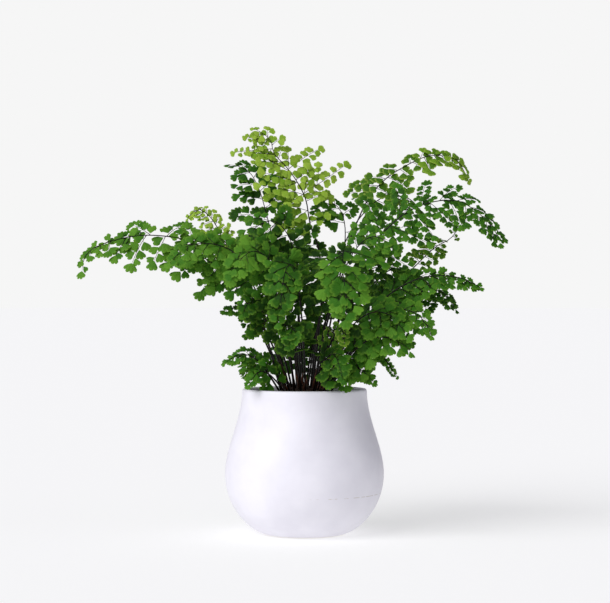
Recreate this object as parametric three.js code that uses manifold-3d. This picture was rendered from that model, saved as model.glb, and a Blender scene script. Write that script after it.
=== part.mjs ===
// A maidenhair fern in a round-bellied glazed pot.
// Millimetres, +Z up. The origin is the centre of the pot's flat base, and the plant faces -Y.
import * as THREE from 'three';
import { mergeVertices } from 'three/addons/utils/BufferGeometryUtils.js';
import Module from 'manifold-3d';

const wasm = await Module();
wasm.setup();

// Pot
const potHeight = 145;
const bellyRadius = 79.5;
const bellyHeight = 61;
const rimRadius = 62.3;
const footRadius = 36;
const potWall = 4.6;
const potFloor = 6;

// Soil and rhizome
const wateringDepth = 11; // from the lip down to the soil
const soilFall = 2; // the soil drops this much from the crown to the wall
const crownRadius = 28;
const crownHeight = 14;
const crownFall = 0.62; // the share of its height lost at the crown's edge
const crownBuried = 4; // how deep each stipe stands in the crown

// Fronds
const stipeRadius = 1.1;
const rachisRadius = 0.6;
const bladeThickness = 0.8;
const neckHalf = 0.5; // half a pinna's width where it leaves the rachis
const pinnaSlimness = 0.46; // width of a pinna over its length
const pinnaWidest = 0.45; // how far along a pinna is widest
const pinnaeEachFrond = 6;
const pinnaTaper = 0.6; // how much shorter the last pinnae are than the first
const tipReach = 0.4; // the end leaflet's length over the longest pinna's
const pinnaAngles = [64, 46]; // degrees from the rachis, first and last
const pinnaDroop = 0.2;
const lastPinna = 0.95; // how far along the blade the last side pinna may stand
const tipOverlap = 0.9; // the share of the end leaflet that reaches back along the rachis
const turnOut = 0.45; // how much a blade's face turns outwards with its distance from the middle
const lightHeight = 110; // the light's height above a blade
const lightAway = 110; // and how far in front of the pot's middle it stands

// Clearances
const soilGap = 0.3;
const leafGap = 0.35;
const slantRoom = 1.3; // a kite's slanting sides need the gap this many times over
const pointRoom = 4; // and its sharp point this many times

// Fineness of the faceted shapes
const potSegments = 44;
const facetSag = 0.4; // how far a facet of the wall lies inside its true circle
const crownSegments = 14;
const stemSides = 5;
const stepLength = 32; // along a stem

const glaze = { color: 0xecebf3, roughness: 0.35, metalness: 0 };
const soilFinish = { color: 0x241a12, roughness: 0.95, metalness: 0 };
const rhizomeFinish = { color: 0x2a1a10, roughness: 0.85, metalness: 0 };
const matureLeaf = { color: 0x4d7f24, roughness: 0.55, metalness: 0 };
const youngLeaf = { color: 0x86ac38, roughness: 0.5, metalness: 0 };

// Each frond: where its stipe stands on the crown, as shares of the crown's radius in X and Y,
// then its route above the rim, out to the tip. from is where the blade starts along the route,
// reach the length of its longest pinna, droop how far its pinnae hang below the blade and angles
// the first and last angle between a pinna and the rachis.
const fronds = [
  { name: 'frond_01_left_long', seat: [-0.54, -0.18], from: 0.46, reach: 42, droop: 0.3,
    route: [[-22, -8, 25], [-36, -13, 63], [-64, -20, 107], [-108, -28, 144], [-149, -34, 152],
      [-178, -38, 149], [-200, -41, 142], [-209, -43, 137], [-214, -44, 131], [-216, -44, 125]] },
  { name: 'frond_02_left_young', seat: [-0.43, 0.21], from: 0.66, reach: 17, young: true,
    route: [[-22, 10, 35], [-45, 18, 90], [-69, 26, 132], [-83, 30, 151], [-91, 33, 166],
      [-98, 35, 175], [-108, 36, 181], [-117, 37, 175]] },
  { name: 'frond_03_left_shoulder', seat: [-0.3, -0.42], from: 0.52, reach: 24,
    route: [[-19, -21, 45], [-42, -42, 100], [-70, -58, 136], [-97, -70, 143], [-114, -77, 139],
      [-123, -81, 130]] },
  { name: 'frond_04_left_mid', seat: [-0.6, -0.4], from: 0.66, reach: 14, droop: 0.1,
    route: [[-30, -20, 40], [-55, -32, 83], [-82, -42, 118], [-106, -48, 132], [-124, -50, 128]] },
  { name: 'frond_05_upper_left', seat: [-0.2, 0.42], from: 0.46, reach: 48, droop: 0.05, angles: [80, 50],
    route: [[-12, 20, 45], [-24, 28, 115], [-38, 34, 173], [-47, 38, 203], [-57, 41, 220],
      [-69, 44, 226]] },
  { name: 'frond_06_top_light', seat: [0.29, 0.1], from: 0.57, reach: 64, young: true, droop: 0,
    route: [[13, 4, 45], [17, 5, 95], [14, 5, 140], [6, 5, 163], [1, 5, 190], [-8, 5, 208],
      [-20, 5, 224], [-31, 5, 236], [-33, 5, 246], [-38, 5, 253], [-46, 5, 258]] },
  { name: 'frond_07_fork', seat: [0.32, 0.42], from: 0.78, reach: 24,
    route: [[18, 16, 50], [30, 20, 105], [41, 21, 148], [38, 22, 176], [28, 23, 187], [17, 24, 184]] },
  { name: 'frond_08_right_top', seat: [0.5, 0.14], from: 0.65, reach: 23, young: true, droop: 0.05,
    route: [[22, 6, 45], [32, 8, 95], [42, 9, 139], [53, 11, 167], [64, 12, 190], [80, 14, 209],
      [97, 16, 221], [125, 18, 234], [142, 19, 234], [155, 20, 229], [164, 21, 214]] },
  { name: 'frond_09_right_big', seat: [0.58, -0.1], from: 0.5, reach: 46, droop: 0.12,
    route: [[28, -8, 45], [45, -14, 100], [67, -20, 142], [97, -26, 172], [122, -29, 184],
      [150, -32, 186], [164, -33, 179], [176, -34, 169], [184, -35, 160], [190, -36, 150]] },
  { name: 'frond_10_right_thin', seat: [0.68, 0.34], from: 0.6, reach: 14, young: true,
    route: [[35, 20, 35], [70, 34, 80], [110, 42, 120], [136, 46, 144], [149, 48, 151], [159, 50, 163],
      [165, 51, 173]] },
  { name: 'frond_11_right_mid', seat: [0.66, -0.26], from: 0.48, reach: 22, droop: 0.18, angles: [46, 30],
    route: [[35, -15, 35], [60, -23, 70], [80, -30, 91], [103, -35, 106], [124, -38, 112],
      [141, -40, 112], [155, -42, 109], [166, -43, 104]] },
  { name: 'frond_12_right_under', seat: [0.8, -0.02], from: 0.5, reach: 26, angles: [52, 34],
    route: [[45, -3, 30], [75, -6, 60], [95, -8, 77], [110, -10, 93], [124, -12, 99], [138, -14, 95],
      [146, -16, 85]] },
  { name: 'frond_13_right_low', seat: [0.62, -0.5], from: 0.5, reach: 22, droop: 0.1,
    route: [[38, -29, 30], [62, -46, 62], [84, -62, 77], [98, -72, 79], [110, -79, 73], [118, -83, 62]] },
  { name: 'frond_14_right_shelf', seat: [0.56, -0.68], from: 0.46, reach: 20,
    route: [[33, -38, 20], [50, -57, 41], [66, -74, 52], [82, -86, 52], [94, -93, 46]] },
  { name: 'frond_15_right_bottom', seat: [0.84, -0.3], from: 0.5, reach: 5,
    route: [[38, -18, 15], [55, -27, 33], [70, -34, 37], [80, -38, 29], [88, -40, 17]] },
  { name: 'frond_16_right_rim', seat: [0.48, -0.84], from: 0.45, reach: 14,
    route: [[29, -39, 13], [42, -49, 22.5], [53, -56, 22], [62, -61, 15]] },
  { name: 'frond_17_front_centre', seat: [0.2, -0.4], from: 0.66, reach: 36,
    route: [[11, -24, 45], [19, -46, 95], [30, -74, 128], [36, -95, 135], [36, -112, 126],
      [36, -120, 113], [38, -124, 98], [39, -126, 81]] },
  { name: 'frond_18_left_low', seat: [-0.78, -0.06], from: 0.6, reach: 10,
    route: [[-32, -6, 30], [-46, -10, 60], [-56, -14, 76], [-65, -16, 81], [-73, -18, 80]] },
  { name: 'frond_19_left_lower', seat: [-0.8, -0.34], from: 0.72, reach: 11, young: true,
    route: [[-31, -21.5, 28], [-38, -30, 58], [-43, -36, 71], [-52, -40, 71]] },
  { name: 'frond_20_left_bottom', seat: [-0.76, -0.58], from: 0.42, reach: 9,
    route: [[-34, -24, 13], [-46, -32, 29], [-57, -38, 35], [-67, -42, 34], [-72, -44, 31]] },
  { name: 'frond_21_left_rim', seat: [-0.56, -0.78], from: 0.42, reach: 11,
    route: [[-29, -32, 10], [-38, -38, 18], [-45, -42, 18], [-50, -46, 13]] },
  { name: 'frond_22_centre_low', seat: [-0.1, -0.88], from: 0.5, reach: 14,
    route: [[-6, -44, 22], [-8, -70, 50], [-10, -90, 63], [-12, -102, 61], [-13, -108, 54]] },
  { name: 'frond_23_front_left', seat: [-0.36, -0.74], from: 0.5, reach: 13,
    route: [[-14, -40, 34], [-20, -64, 70], [-24, -82, 84], [-25, -94, 82], [-25, -100, 75]] },
  { name: 'frond_24_front_low_right', seat: [0.26, -0.92], from: 0.45, reach: 16,
    route: [[13, -46, 16], [21, -67, 32], [27, -82, 37], [31, -91, 32], [34, -96, 22]] },
  { name: 'frond_25_front_young', seat: [0.34, -0.66], from: 0.5, reach: 11, young: true,
    route: [[18, -36, 25], [27, -56, 50], [33, -70, 61], [36, -78, 60], [38, -83, 51]] },
  { name: 'frond_26_right_centre', seat: [0.44, -0.36], from: 0.45, reach: 30,
    route: [[29, -30, 35], [50, -54, 67], [68, -76, 77], [83, -90, 73], [92, -97, 62]] },
  { name: 'frond_27_left_inner', seat: [-0.5, -0.56], from: 0.58, reach: 16,
    route: [[-26, -31, 35], [-38, -49, 70], [-46, -62, 88], [-52, -70, 90], [-56, -75, 82]] },
  { name: 'frond_28_centre_left', seat: [-0.16, -0.54], from: 0.44, reach: 28,
    route: [[-11, -29, 45], [-23, -51, 100], [-36, -72, 129], [-49, -88, 135], [-60, -99, 127],
      [-66, -104, 116]] },
  { name: 'frond_29_centre', seat: [0.04, -0.66], from: 0.44, reach: 34,
    route: [[-1, -35, 45], [-5, -60, 95], [-10, -86, 120], [-16, -106, 120], [-20, -118, 106],
      [-22, -124, 89]] },
  { name: 'frond_30_centre_top', seat: [-0.12, -0.16], from: 0.46, reach: 42,
    route: [[-6, -10, 55], [-8, -18, 117], [-16, -27, 152], [-30, -34, 166], [-46, -38, 161],
      [-56, -40, 148]] },
  { name: 'frond_31_right_shoulder', seat: [0.34, -0.2], from: 0.68, reach: 17,
    route: [[20, -14, 55], [34, -24, 105], [50, -36, 138], [64, -42, 150], [74, -48, 149],
      [82, -52, 142]] },
  { name: 'frond_32_right_inner', seat: [0.28, -0.02], from: 0.48, reach: 30,
    route: [[24, -1, 45], [44, -6, 90], [62, -12, 117], [80, -16, 121], [95, -19, 111], [104, -21, 95]] },
  { name: 'frond_33_back_left', seat: [-0.68, 0.3], from: 0.6, reach: 20,
    route: [[-33, 18, 35], [-58, 40, 88], [-82, 66, 128], [-100, 92, 143], [-112, 112, 137]] },
  { name: 'frond_34_back_left_low', seat: [-0.78, 0.52], from: 0.45, reach: 18,
    route: [[-30, 28, 15], [-42, 52, 28], [-52, 78, 31], [-57, 98, 24], [-60, 108, 10]] },
  { name: 'frond_35_back_left_high', seat: [-0.36, 0.6], from: 0.48, reach: 34,
    route: [[-17, 29, 50], [-34, 58, 110], [-55, 94, 148], [-76, 128, 150], [-90, 150, 130]] },
  { name: 'frond_36_back_low', seat: [-0.26, 0.86], from: 0.16, reach: 26,
    route: [[-9, 40, 20], [-9, 68, 45], [-9, 95, 56], [-9, 117, 48], [-9, 130, 30]] },
  { name: 'frond_37_back', seat: [-0.04, 0.72], from: 0.32, reach: 44,
    route: [[-4, 34, 50], [-8, 66, 108], [-9, 104, 146], [-11, 140, 148], [-13, 166, 128]] },
  { name: 'frond_38_back_middle_low', seat: [0.06, 0.94], from: 0.16, reach: 28,
    route: [[4, 42, 20], [10, 68, 50], [14, 94, 64], [16, 116, 58], [17, 130, 40]] },
  { name: 'frond_39_back_right', seat: [0.24, 0.74], from: 0.46, reach: 42,
    route: [[13, 36, 42], [33, 68, 90], [56, 102, 114], [76, 132, 107], [88, 151, 84]] },
  { name: 'frond_40_back_right_low', seat: [0.44, 0.84], from: 0.24, reach: 28,
    route: [[20, 38, 20], [36, 62, 48], [50, 86, 60], [58, 104, 52], [63, 116, 34]] },
  { name: 'frond_41_right_back', seat: [0.6, 0.58], from: 0.56, reach: 42,
    route: [[30, 29, 40], [59, 56, 90], [90, 84, 120], [118, 108, 118], [136, 123, 98]] },
  { name: 'frond_42_right_back_low', seat: [0.84, 0.26], from: 0.45, reach: 24,
    route: [[38, 18, 22], [58, 42, 50], [72, 64, 63], [80, 82, 58], [84, 93, 42]] },
  { name: 'frond_43_back_right_high', seat: [0.1, 0.46], from: 0.7, reach: 32,
    route: [[12, 24, 55], [30, 40, 120], [56, 56, 172], [84, 70, 196], [110, 80, 194], [126, 86, 176]] },
];

// Turns a closed geometry into a solid that can be joined and cut.
function solidOf(geometry) {
  geometry.deleteAttribute('normal');
  geometry.deleteAttribute('uv');
  const merged = mergeVertices(geometry, 1e-4);
  const vertProperties = new Float32Array(merged.attributes.position.array);
  const triVerts = new Uint32Array(merged.index.array);
  return new wasm.Manifold(new wasm.Mesh({ numProp: 3, vertProperties, triVerts }));
}

function geometryOf(solid) {
  const mesh = solid.getMesh();
  const geometry = new THREE.BufferGeometry();
  geometry.setAttribute('position', new THREE.BufferAttribute(mesh.vertProperties, 3));
  geometry.setIndex(new THREE.BufferAttribute(mesh.triVerts, 1));
  geometry.computeVertexNormals();
  return geometry;
}

function namedMesh(name, geometry, finish) {
  const mesh = new THREE.Mesh(geometry, new THREE.MeshStandardMaterial(finish));
  mesh.name = name;
  return mesh;
}

// The pot's outer radius at a height: a full curve up to the belly, then an easy shoulder.
function potRadius(height) {
  if (height < bellyHeight) {
    const rise = 1 - (1 - height / bellyHeight) ** 2;
    return footRadius + (bellyRadius - footRadius) * rise ** 0.6;
  }
  const climb = (height - bellyHeight) / (potHeight - bellyHeight);
  return rimRadius + (bellyRadius - rimRadius) * (1 + Math.cos(Math.PI * climb ** 0.92)) / 2;
}

// Points up the pot's wall between two heights, set in from its outside.
function wallPoints(low, high, inset, count) {
  return Array.from({ length: count + 1 }, (_, i) => {
    const height = low + (high - low) * i / count;
    return new THREE.Vector2(potRadius(height) - inset, height);
  });
}

function makePot() {
  const lipRadius = potWall / 2;
  const lipHeight = potHeight - lipRadius;
  const lip = [1, 2, 3].map((i) => {
    const turn = Math.PI * i / 4;
    const out = rimRadius - lipRadius + lipRadius * Math.cos(turn);
    return new THREE.Vector2(out, lipHeight + lipRadius * Math.sin(turn));
  });
  const profile = [
    new THREE.Vector2(0, 0),
    ...wallPoints(0, 12, 0, 3),
    ...wallPoints(24, lipHeight, 0, 7),
    ...lip,
    ...wallPoints(potFloor + 4, lipHeight, potWall, 7).reverse(),
    new THREE.Vector2(potRadius(potFloor) - potWall - 5, potFloor),
    new THREE.Vector2(0, potFloor),
  ];
  return namedMesh('pot', new THREE.LatheGeometry(profile, potSegments).rotateX(Math.PI / 2), glaze);
}

function makeSoil() {
  const soilTop = potHeight - wateringDepth;
  const inset = potWall + soilGap + facetSag;
  const profile = [
    new THREE.Vector2(0, potFloor + soilGap),
    new THREE.Vector2(potRadius(potFloor) - inset - 6, potFloor + soilGap),
    ...wallPoints(potFloor + 5, soilTop - soilFall, inset, 6),
    new THREE.Vector2(crownRadius + 2, soilTop),
    new THREE.Vector2(0, soilTop),
  ];
  const geometry = new THREE.LatheGeometry(profile, potSegments).rotateX(Math.PI / 2);
  return namedMesh('potting_soil', geometry, soilFinish);
}

// The crown's height above the soil at a distance from its middle.
function crownSurface(distance) {
  return crownHeight * (1 - crownFall * (distance / crownRadius) ** 2);
}

// A stipe's foot, inside the crown.
function seatOf(frond) {
  const [x, y] = frond.seat.map((share) => share * crownRadius);
  const surface = potHeight - wateringDepth + soilGap + crownSurface(Math.hypot(x, y));
  return new THREE.Vector3(x, y, surface - crownBuried);
}

function routeOf(frond) {
  const above = frond.route.map(([x, y, z]) => new THREE.Vector3(x, y, z + potHeight));
  return new THREE.CatmullRomCurve3([seatOf(frond), ...above], false, 'centripetal');
}

// A tube along part of a route, as a round section drawn out along it.
class RouteStretch extends THREE.Curve {
  constructor(route, start, end) {
    super();
    Object.assign(this, { route, start, end });
  }

  getPoint(share, target = new THREE.Vector3()) {
    return this.route.getPointAt(this.start + (this.end - this.start) * share, target);
  }
}

function tube(route, start, end, radius) {
  const path = new RouteStretch(route, start, end);
  const steps = Math.max(2, Math.round(route.getLength() * (end - start) / stepLength));
  const corners = Array.from({ length: stemSides }, (_, i) => {
    const turn = 2 * Math.PI * i / stemSides;
    return new THREE.Vector2(radius * Math.cos(turn), radius * Math.sin(turn));
  });
  const section = new THREE.Shape(corners);
  const options = { steps, extrudePath: path, bevelEnabled: false };
  return solidOf(new THREE.ExtrudeGeometry(section, options));
}

// A stem is the thicker stipe, joined to the thin rachis that runs on through the blade.
function stemOf(frond, growth) {
  const route = routeOf(frond);
  const overlap = 2 / route.getLength();
  const stipe = tube(route, 0, frond.from, stipeRadius + growth);
  return stipe.add(tube(route, frond.from - overlap, 1, rachisRadius + growth));
}

// One pinna as a thin kite from the rachis to its tip, or a larger one that clears it.
function kite(root, along, normal, length, growth) {
  const across = new THREE.Vector3().crossVectors(normal, along).normalize();
  const up = new THREE.Vector3().crossVectors(along, across).normalize();
  const half = length * pinnaSlimness / 2 + growth * slantRoom;
  const neck = neckHalf + growth;
  const thickness = bladeThickness + 2 * growth;
  const outline = new THREE.Shape([
    new THREE.Vector2(-growth, -neck),
    new THREE.Vector2(length * pinnaWidest, -half),
    new THREE.Vector2(length + growth * pointRoom, 0),
    new THREE.Vector2(length * pinnaWidest, half),
    new THREE.Vector2(-growth, neck),
  ]);
  const geometry = new THREE.ExtrudeGeometry(outline, { depth: thickness, bevelEnabled: false });
  geometry.translate(0, 0, -thickness / 2);
  const place = new THREE.Matrix4().makeBasis(along, across, up).setPosition(root);
  return solidOf(geometry.applyMatrix4(place));
}

// The way a blade turns its face at a point: up, outwards and to the light at the front.
function facing(point) {
  return new THREE.Vector3(turnOut * point.x, point.y - lightAway, lightHeight).normalize();
}

// The pinnae stand alternately left and right, longest near the blade's start.
function bladeOf(frond, growth) {
  const route = routeOf(frond);
  const angles = frond.angles ?? pinnaAngles;
  const [firstAngle, lastAngle] = angles.map(THREE.MathUtils.degToRad);
  const kites = [];
  for (let i = 0; i <= pinnaeEachFrond; i += 1) {
    const share = i / pinnaeEachFrond;
    const last = i === pinnaeEachFrond;
    const length = frond.reach * (last ? tipReach : 1 - pinnaTaper * share);
    const sideAt = frond.from + (1 - frond.from) * share * lastPinna;
    const at = last ? 1 - tipOverlap * length / route.getLength() : sideAt;
    const root = route.getPointAt(at);
    const along = route.getTangentAt(at);
    const side = new THREE.Vector3().crossVectors(along, facing(root)).normalize();
    const normal = new THREE.Vector3().crossVectors(side, along);
    const angle = last ? 0 : firstAngle + (lastAngle - firstAngle) * share;
    const sign = i % 2 === 0 ? 1 : -1;
    const way = along.clone().multiplyScalar(Math.cos(angle));
    way.addScaledVector(side, sign * Math.sin(angle));
    way.z -= last ? 0 : frond.droop ?? pinnaDroop;
    way.normalize();
    kites.push(kite(root, way, normal, length, growth));
  }
  return kites.reduce((joined, next) => joined.add(next));
}

// A frond keeps the part that grows from its own seat, where a neighbour has cut its blade.
function rootedPart(solid, frond) {
  const seat = seatOf(frond);
  return solid.decompose().find((body) => {
    const box = body.boundingBox();
    return seat.toArray().every((value, i) => box.min[i] - 1 < value && value < box.max[i] + 1);
  });
}

function makeFronds() {
  const stemSpace = fronds.map((frond) => stemOf(frond, leafGap));
  const bladeSpace = fronds.map((frond) => bladeOf(frond, leafGap));
  return fronds.map((frond, index) => {
    let blade = bladeOf(frond, 0);
    fronds.forEach((other, otherIndex) => {
      if (otherIndex !== index) {
        blade = blade.subtract(stemSpace[otherIndex]);
      }
      if (otherIndex < index) {
        blade = blade.subtract(bladeSpace[otherIndex]);
      }
    });
    const whole = rootedPart(stemOf(frond, 0).add(blade), frond);
    return namedMesh(frond.name, geometryOf(whole), frond.young ? youngLeaf : matureLeaf);
  });
}

// The rhizome crown is a low dome with a socket round each stipe.
function makeCrown() {
  const bottom = potHeight - wateringDepth + soilGap;
  const rings = [1, 0.82, 0.58, 0].map((share) => crownRadius * share);
  const profile = [
    new THREE.Vector2(0, bottom),
    new THREE.Vector2(crownRadius, bottom),
    ...rings.map((distance) => new THREE.Vector2(distance, bottom + crownSurface(distance))),
  ];
  let crown = solidOf(new THREE.LatheGeometry(profile, crownSegments).rotateX(Math.PI / 2));
  fronds.forEach((frond) => {
    crown = crown.subtract(stemOf(frond, leafGap));
  });
  return namedMesh('rhizome_crown', geometryOf(crown), rhizomeFinish);
}

const fern = new THREE.Group();
fern.add(makePot(), makeSoil(), makeCrown(), ...makeFronds());

export default fern;
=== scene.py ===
# Potted maidenhair fern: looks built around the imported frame. Metres, +Z up, front towards -Y.
import math
import random

import bpy
import bmesh
from mathutils import Matrix, Vector, noise


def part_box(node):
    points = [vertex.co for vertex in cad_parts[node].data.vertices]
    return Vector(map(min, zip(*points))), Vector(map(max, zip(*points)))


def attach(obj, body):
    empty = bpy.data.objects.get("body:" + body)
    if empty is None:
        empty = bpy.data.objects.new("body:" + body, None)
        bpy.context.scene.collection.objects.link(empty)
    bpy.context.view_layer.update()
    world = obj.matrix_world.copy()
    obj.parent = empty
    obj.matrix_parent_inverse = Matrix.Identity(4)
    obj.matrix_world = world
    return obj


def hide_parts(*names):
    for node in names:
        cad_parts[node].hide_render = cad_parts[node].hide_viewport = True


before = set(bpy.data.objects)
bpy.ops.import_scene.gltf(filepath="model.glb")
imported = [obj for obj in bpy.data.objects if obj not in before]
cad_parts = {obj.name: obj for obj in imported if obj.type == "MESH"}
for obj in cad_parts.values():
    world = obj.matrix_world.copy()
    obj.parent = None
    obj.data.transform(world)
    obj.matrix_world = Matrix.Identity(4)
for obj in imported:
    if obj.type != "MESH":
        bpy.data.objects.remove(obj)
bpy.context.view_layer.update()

mm = 0.001
up = Vector((0, 0, 1))

potLow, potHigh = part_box("pot")
soilLow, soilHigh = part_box("potting_soil")
crownLow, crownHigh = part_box("rhizome_crown")
rimHeight = potHigh.z
crownRadius = (crownHigh.x - crownLow.x) / 2
crownTop = crownHigh.z


# Helpers for materials and meshes.
def linear(hexText, alpha=1.0):
    # sRGB hex to the linear colour that shaders use
    parts = [int(hexText[i:i + 2], 16) / 255 for i in (0, 2, 4)]
    bent = [c / 12.92 if c <= 0.04045 else ((c + 0.055) / 1.055) ** 2.4 for c in parts]
    return (*bent, alpha)


def addNode(tree, kind, links=None, values=None, stops=None, **settings):
    made = tree.nodes.new("ShaderNode" + kind)
    for name, value in settings.items():
        setattr(made, name, value)
    for socket, value in (values or {}).items():
        made.inputs[socket].default_value = value
    for socket, source in (links or {}).items():
        tree.links.new(source, made.inputs[socket])
    if stops:
        ramp = made.color_ramp
        ramp.elements[0].position, ramp.elements[0].color = stops[0]
        ramp.elements[1].position, ramp.elements[1].color = stops[-1]
        for position, colour in stops[1:-1]:
            ramp.elements.new(position).color = colour
    return made


def newMaterial(name):
    material = bpy.data.materials.new(name)
    material.use_nodes = True
    material.node_tree.nodes.clear()
    return material, material.node_tree


def finishMaterial(tree, surface):
    addNode(tree, "OutputMaterial", links={"Surface": surface})


def newPiece(name, mesh, material, replaces=None):
    piece = bpy.data.objects.new(name, mesh)
    bpy.context.scene.collection.objects.link(piece)
    mesh.materials.clear()
    mesh.materials.append(material)
    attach(piece, "root")
    if replaces:
        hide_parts(replaces)
    return piece


def meshFrom(bm, name, smooth=True):
    mesh = bpy.data.meshes.new(name)
    for face in bm.faces:
        face.smooth = smooth
    bm.to_mesh(mesh)
    bm.free()
    return mesh


def spinProfile(outline, steps):
    # a round shape from (radius, height) points, closed on the axis at both ends
    bm = bmesh.new()
    verts = [bm.verts.new((radius, 0, height)) for radius, height in outline]
    edges = [bm.edges.new(pair) for pair in zip(verts, verts[1:])]
    bmesh.ops.spin(bm, geom=verts + edges, cent=(0, 0, 0), axis=(0, 0, 1), dvec=(0, 0, 0),
                   angle=math.tau, steps=steps, use_merge=True)
    bmesh.ops.remove_doubles(bm, verts=bm.verts, dist=0.01 * mm)
    bmesh.ops.recalc_face_normals(bm, faces=bm.faces)
    return bm


def addCopy(bm, template, place):
    # appends a template mesh to bm and puts it in its place
    first = len(bm.verts)
    bm.from_mesh(template)
    bm.verts.ensure_lookup_table()
    fresh = bm.verts[first:]
    bmesh.ops.transform(bm, matrix=place, verts=fresh)
    return fresh


def newCurve(name):
    curve = bpy.data.curves.new(name, "CURVE")
    curve.dimensions = "3D"
    return curve


def addStrand(curve, points, radii):
    spline = curve.splines.new("POLY")
    spline.points.add(len(points) - 1)
    for point, place, radius in zip(spline.points, points, radii):
        point.co = (*place, 1)
        point.radius = radius / mm


def curveToMesh(curve, roundness):
    curve.bevel_depth = mm # each point's own radius scales this
    curve.bevel_resolution = roundness
    curve.use_fill_caps = True
    holder = bpy.data.objects.new(curve.name + "_curve", curve)
    bpy.context.scene.collection.objects.link(holder)
    graph = bpy.context.evaluated_depsgraph_get()
    mesh = bpy.data.meshes.new_from_object(holder.evaluated_get(graph))
    bpy.data.objects.remove(holder)
    mesh.name = curve.name
    for polygon in mesh.polygons:
        polygon.use_smooth = True
    return mesh


# The pot and its glaze.
potLook = dict(
    bellyHeight=61 * mm, footRadius=36 * mm, wall=4.6 * mm, floor=6 * mm, rimRadius=62.3 * mm,
    footCurve=12 * mm, floorRound=4 * mm,
    steps=160, footSteps=12, wallSteps=45, lipSteps=12, insideSteps=24,
    waviness=0.22 * mm, waves=22, calmFoot=20 * mm, calmLip=25 * mm,
    mouldLine=42 * mm, mouldProud=0.16 * mm, mouldWear=0.35 * mm,
    glaze="edebf3", glazeShade="e4e2eb", pinhole="dedce4", bisque="d9d2c6", worn="b9ada0", roughness=0.48)
bellyRadius = (potHigh.x - potLow.x) / 2


def potRadius(height):
    # full curve up to the belly, then an easy shoulder to the rim
    look = potLook
    if height < look["bellyHeight"]:
        rise = 1 - (1 - height / look["bellyHeight"]) ** 2
        return look["footRadius"] + (bellyRadius - look["footRadius"]) * rise ** 0.6
    climb = min(1, (height - look["bellyHeight"]) / (rimHeight - look["bellyHeight"]))
    ease = (1 + math.cos(math.pi * climb ** 0.92)) / 2
    return look["rimRadius"] + (bellyRadius - look["rimRadius"]) * ease


def potOutline():
    look = potLook
    lip = look["wall"] / 2
    shoulder = rimHeight - lip
    outline = [(0, 0), (look["footRadius"] * 0.6, 0), (look["footRadius"] - 1 * mm, 0)]
    for i in range(1, look["footSteps"] + 1):
        height = look["footCurve"] * (i / look["footSteps"]) ** 1.5
        outline.append((potRadius(height), height))
    for i in range(1, look["wallSteps"] + 1):
        height = look["footCurve"] + (shoulder - look["footCurve"]) * i / look["wallSteps"]
        ridge = math.exp(-((height - look["mouldLine"]) / (0.9 * mm)) ** 2) * look["mouldProud"]
        outline.append((potRadius(height) + ridge, height))
    for i in range(1, look["lipSteps"]):
        turn = math.pi * i / look["lipSteps"]
        outline.append((look["rimRadius"] - lip + lip * math.cos(turn), shoulder + lip * math.sin(turn)))
    for i in range(look["insideSteps"] + 1):
        height = shoulder - (shoulder - look["floor"] - look["floorRound"]) * i / look["insideSteps"]
        outline.append((potRadius(height) - look["wall"], height))
    floorEdge = potRadius(look["floor"]) - look["wall"] - look["floorRound"]
    return outline + [(floorEdge, look["floor"]), (0, look["floor"])]


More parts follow.
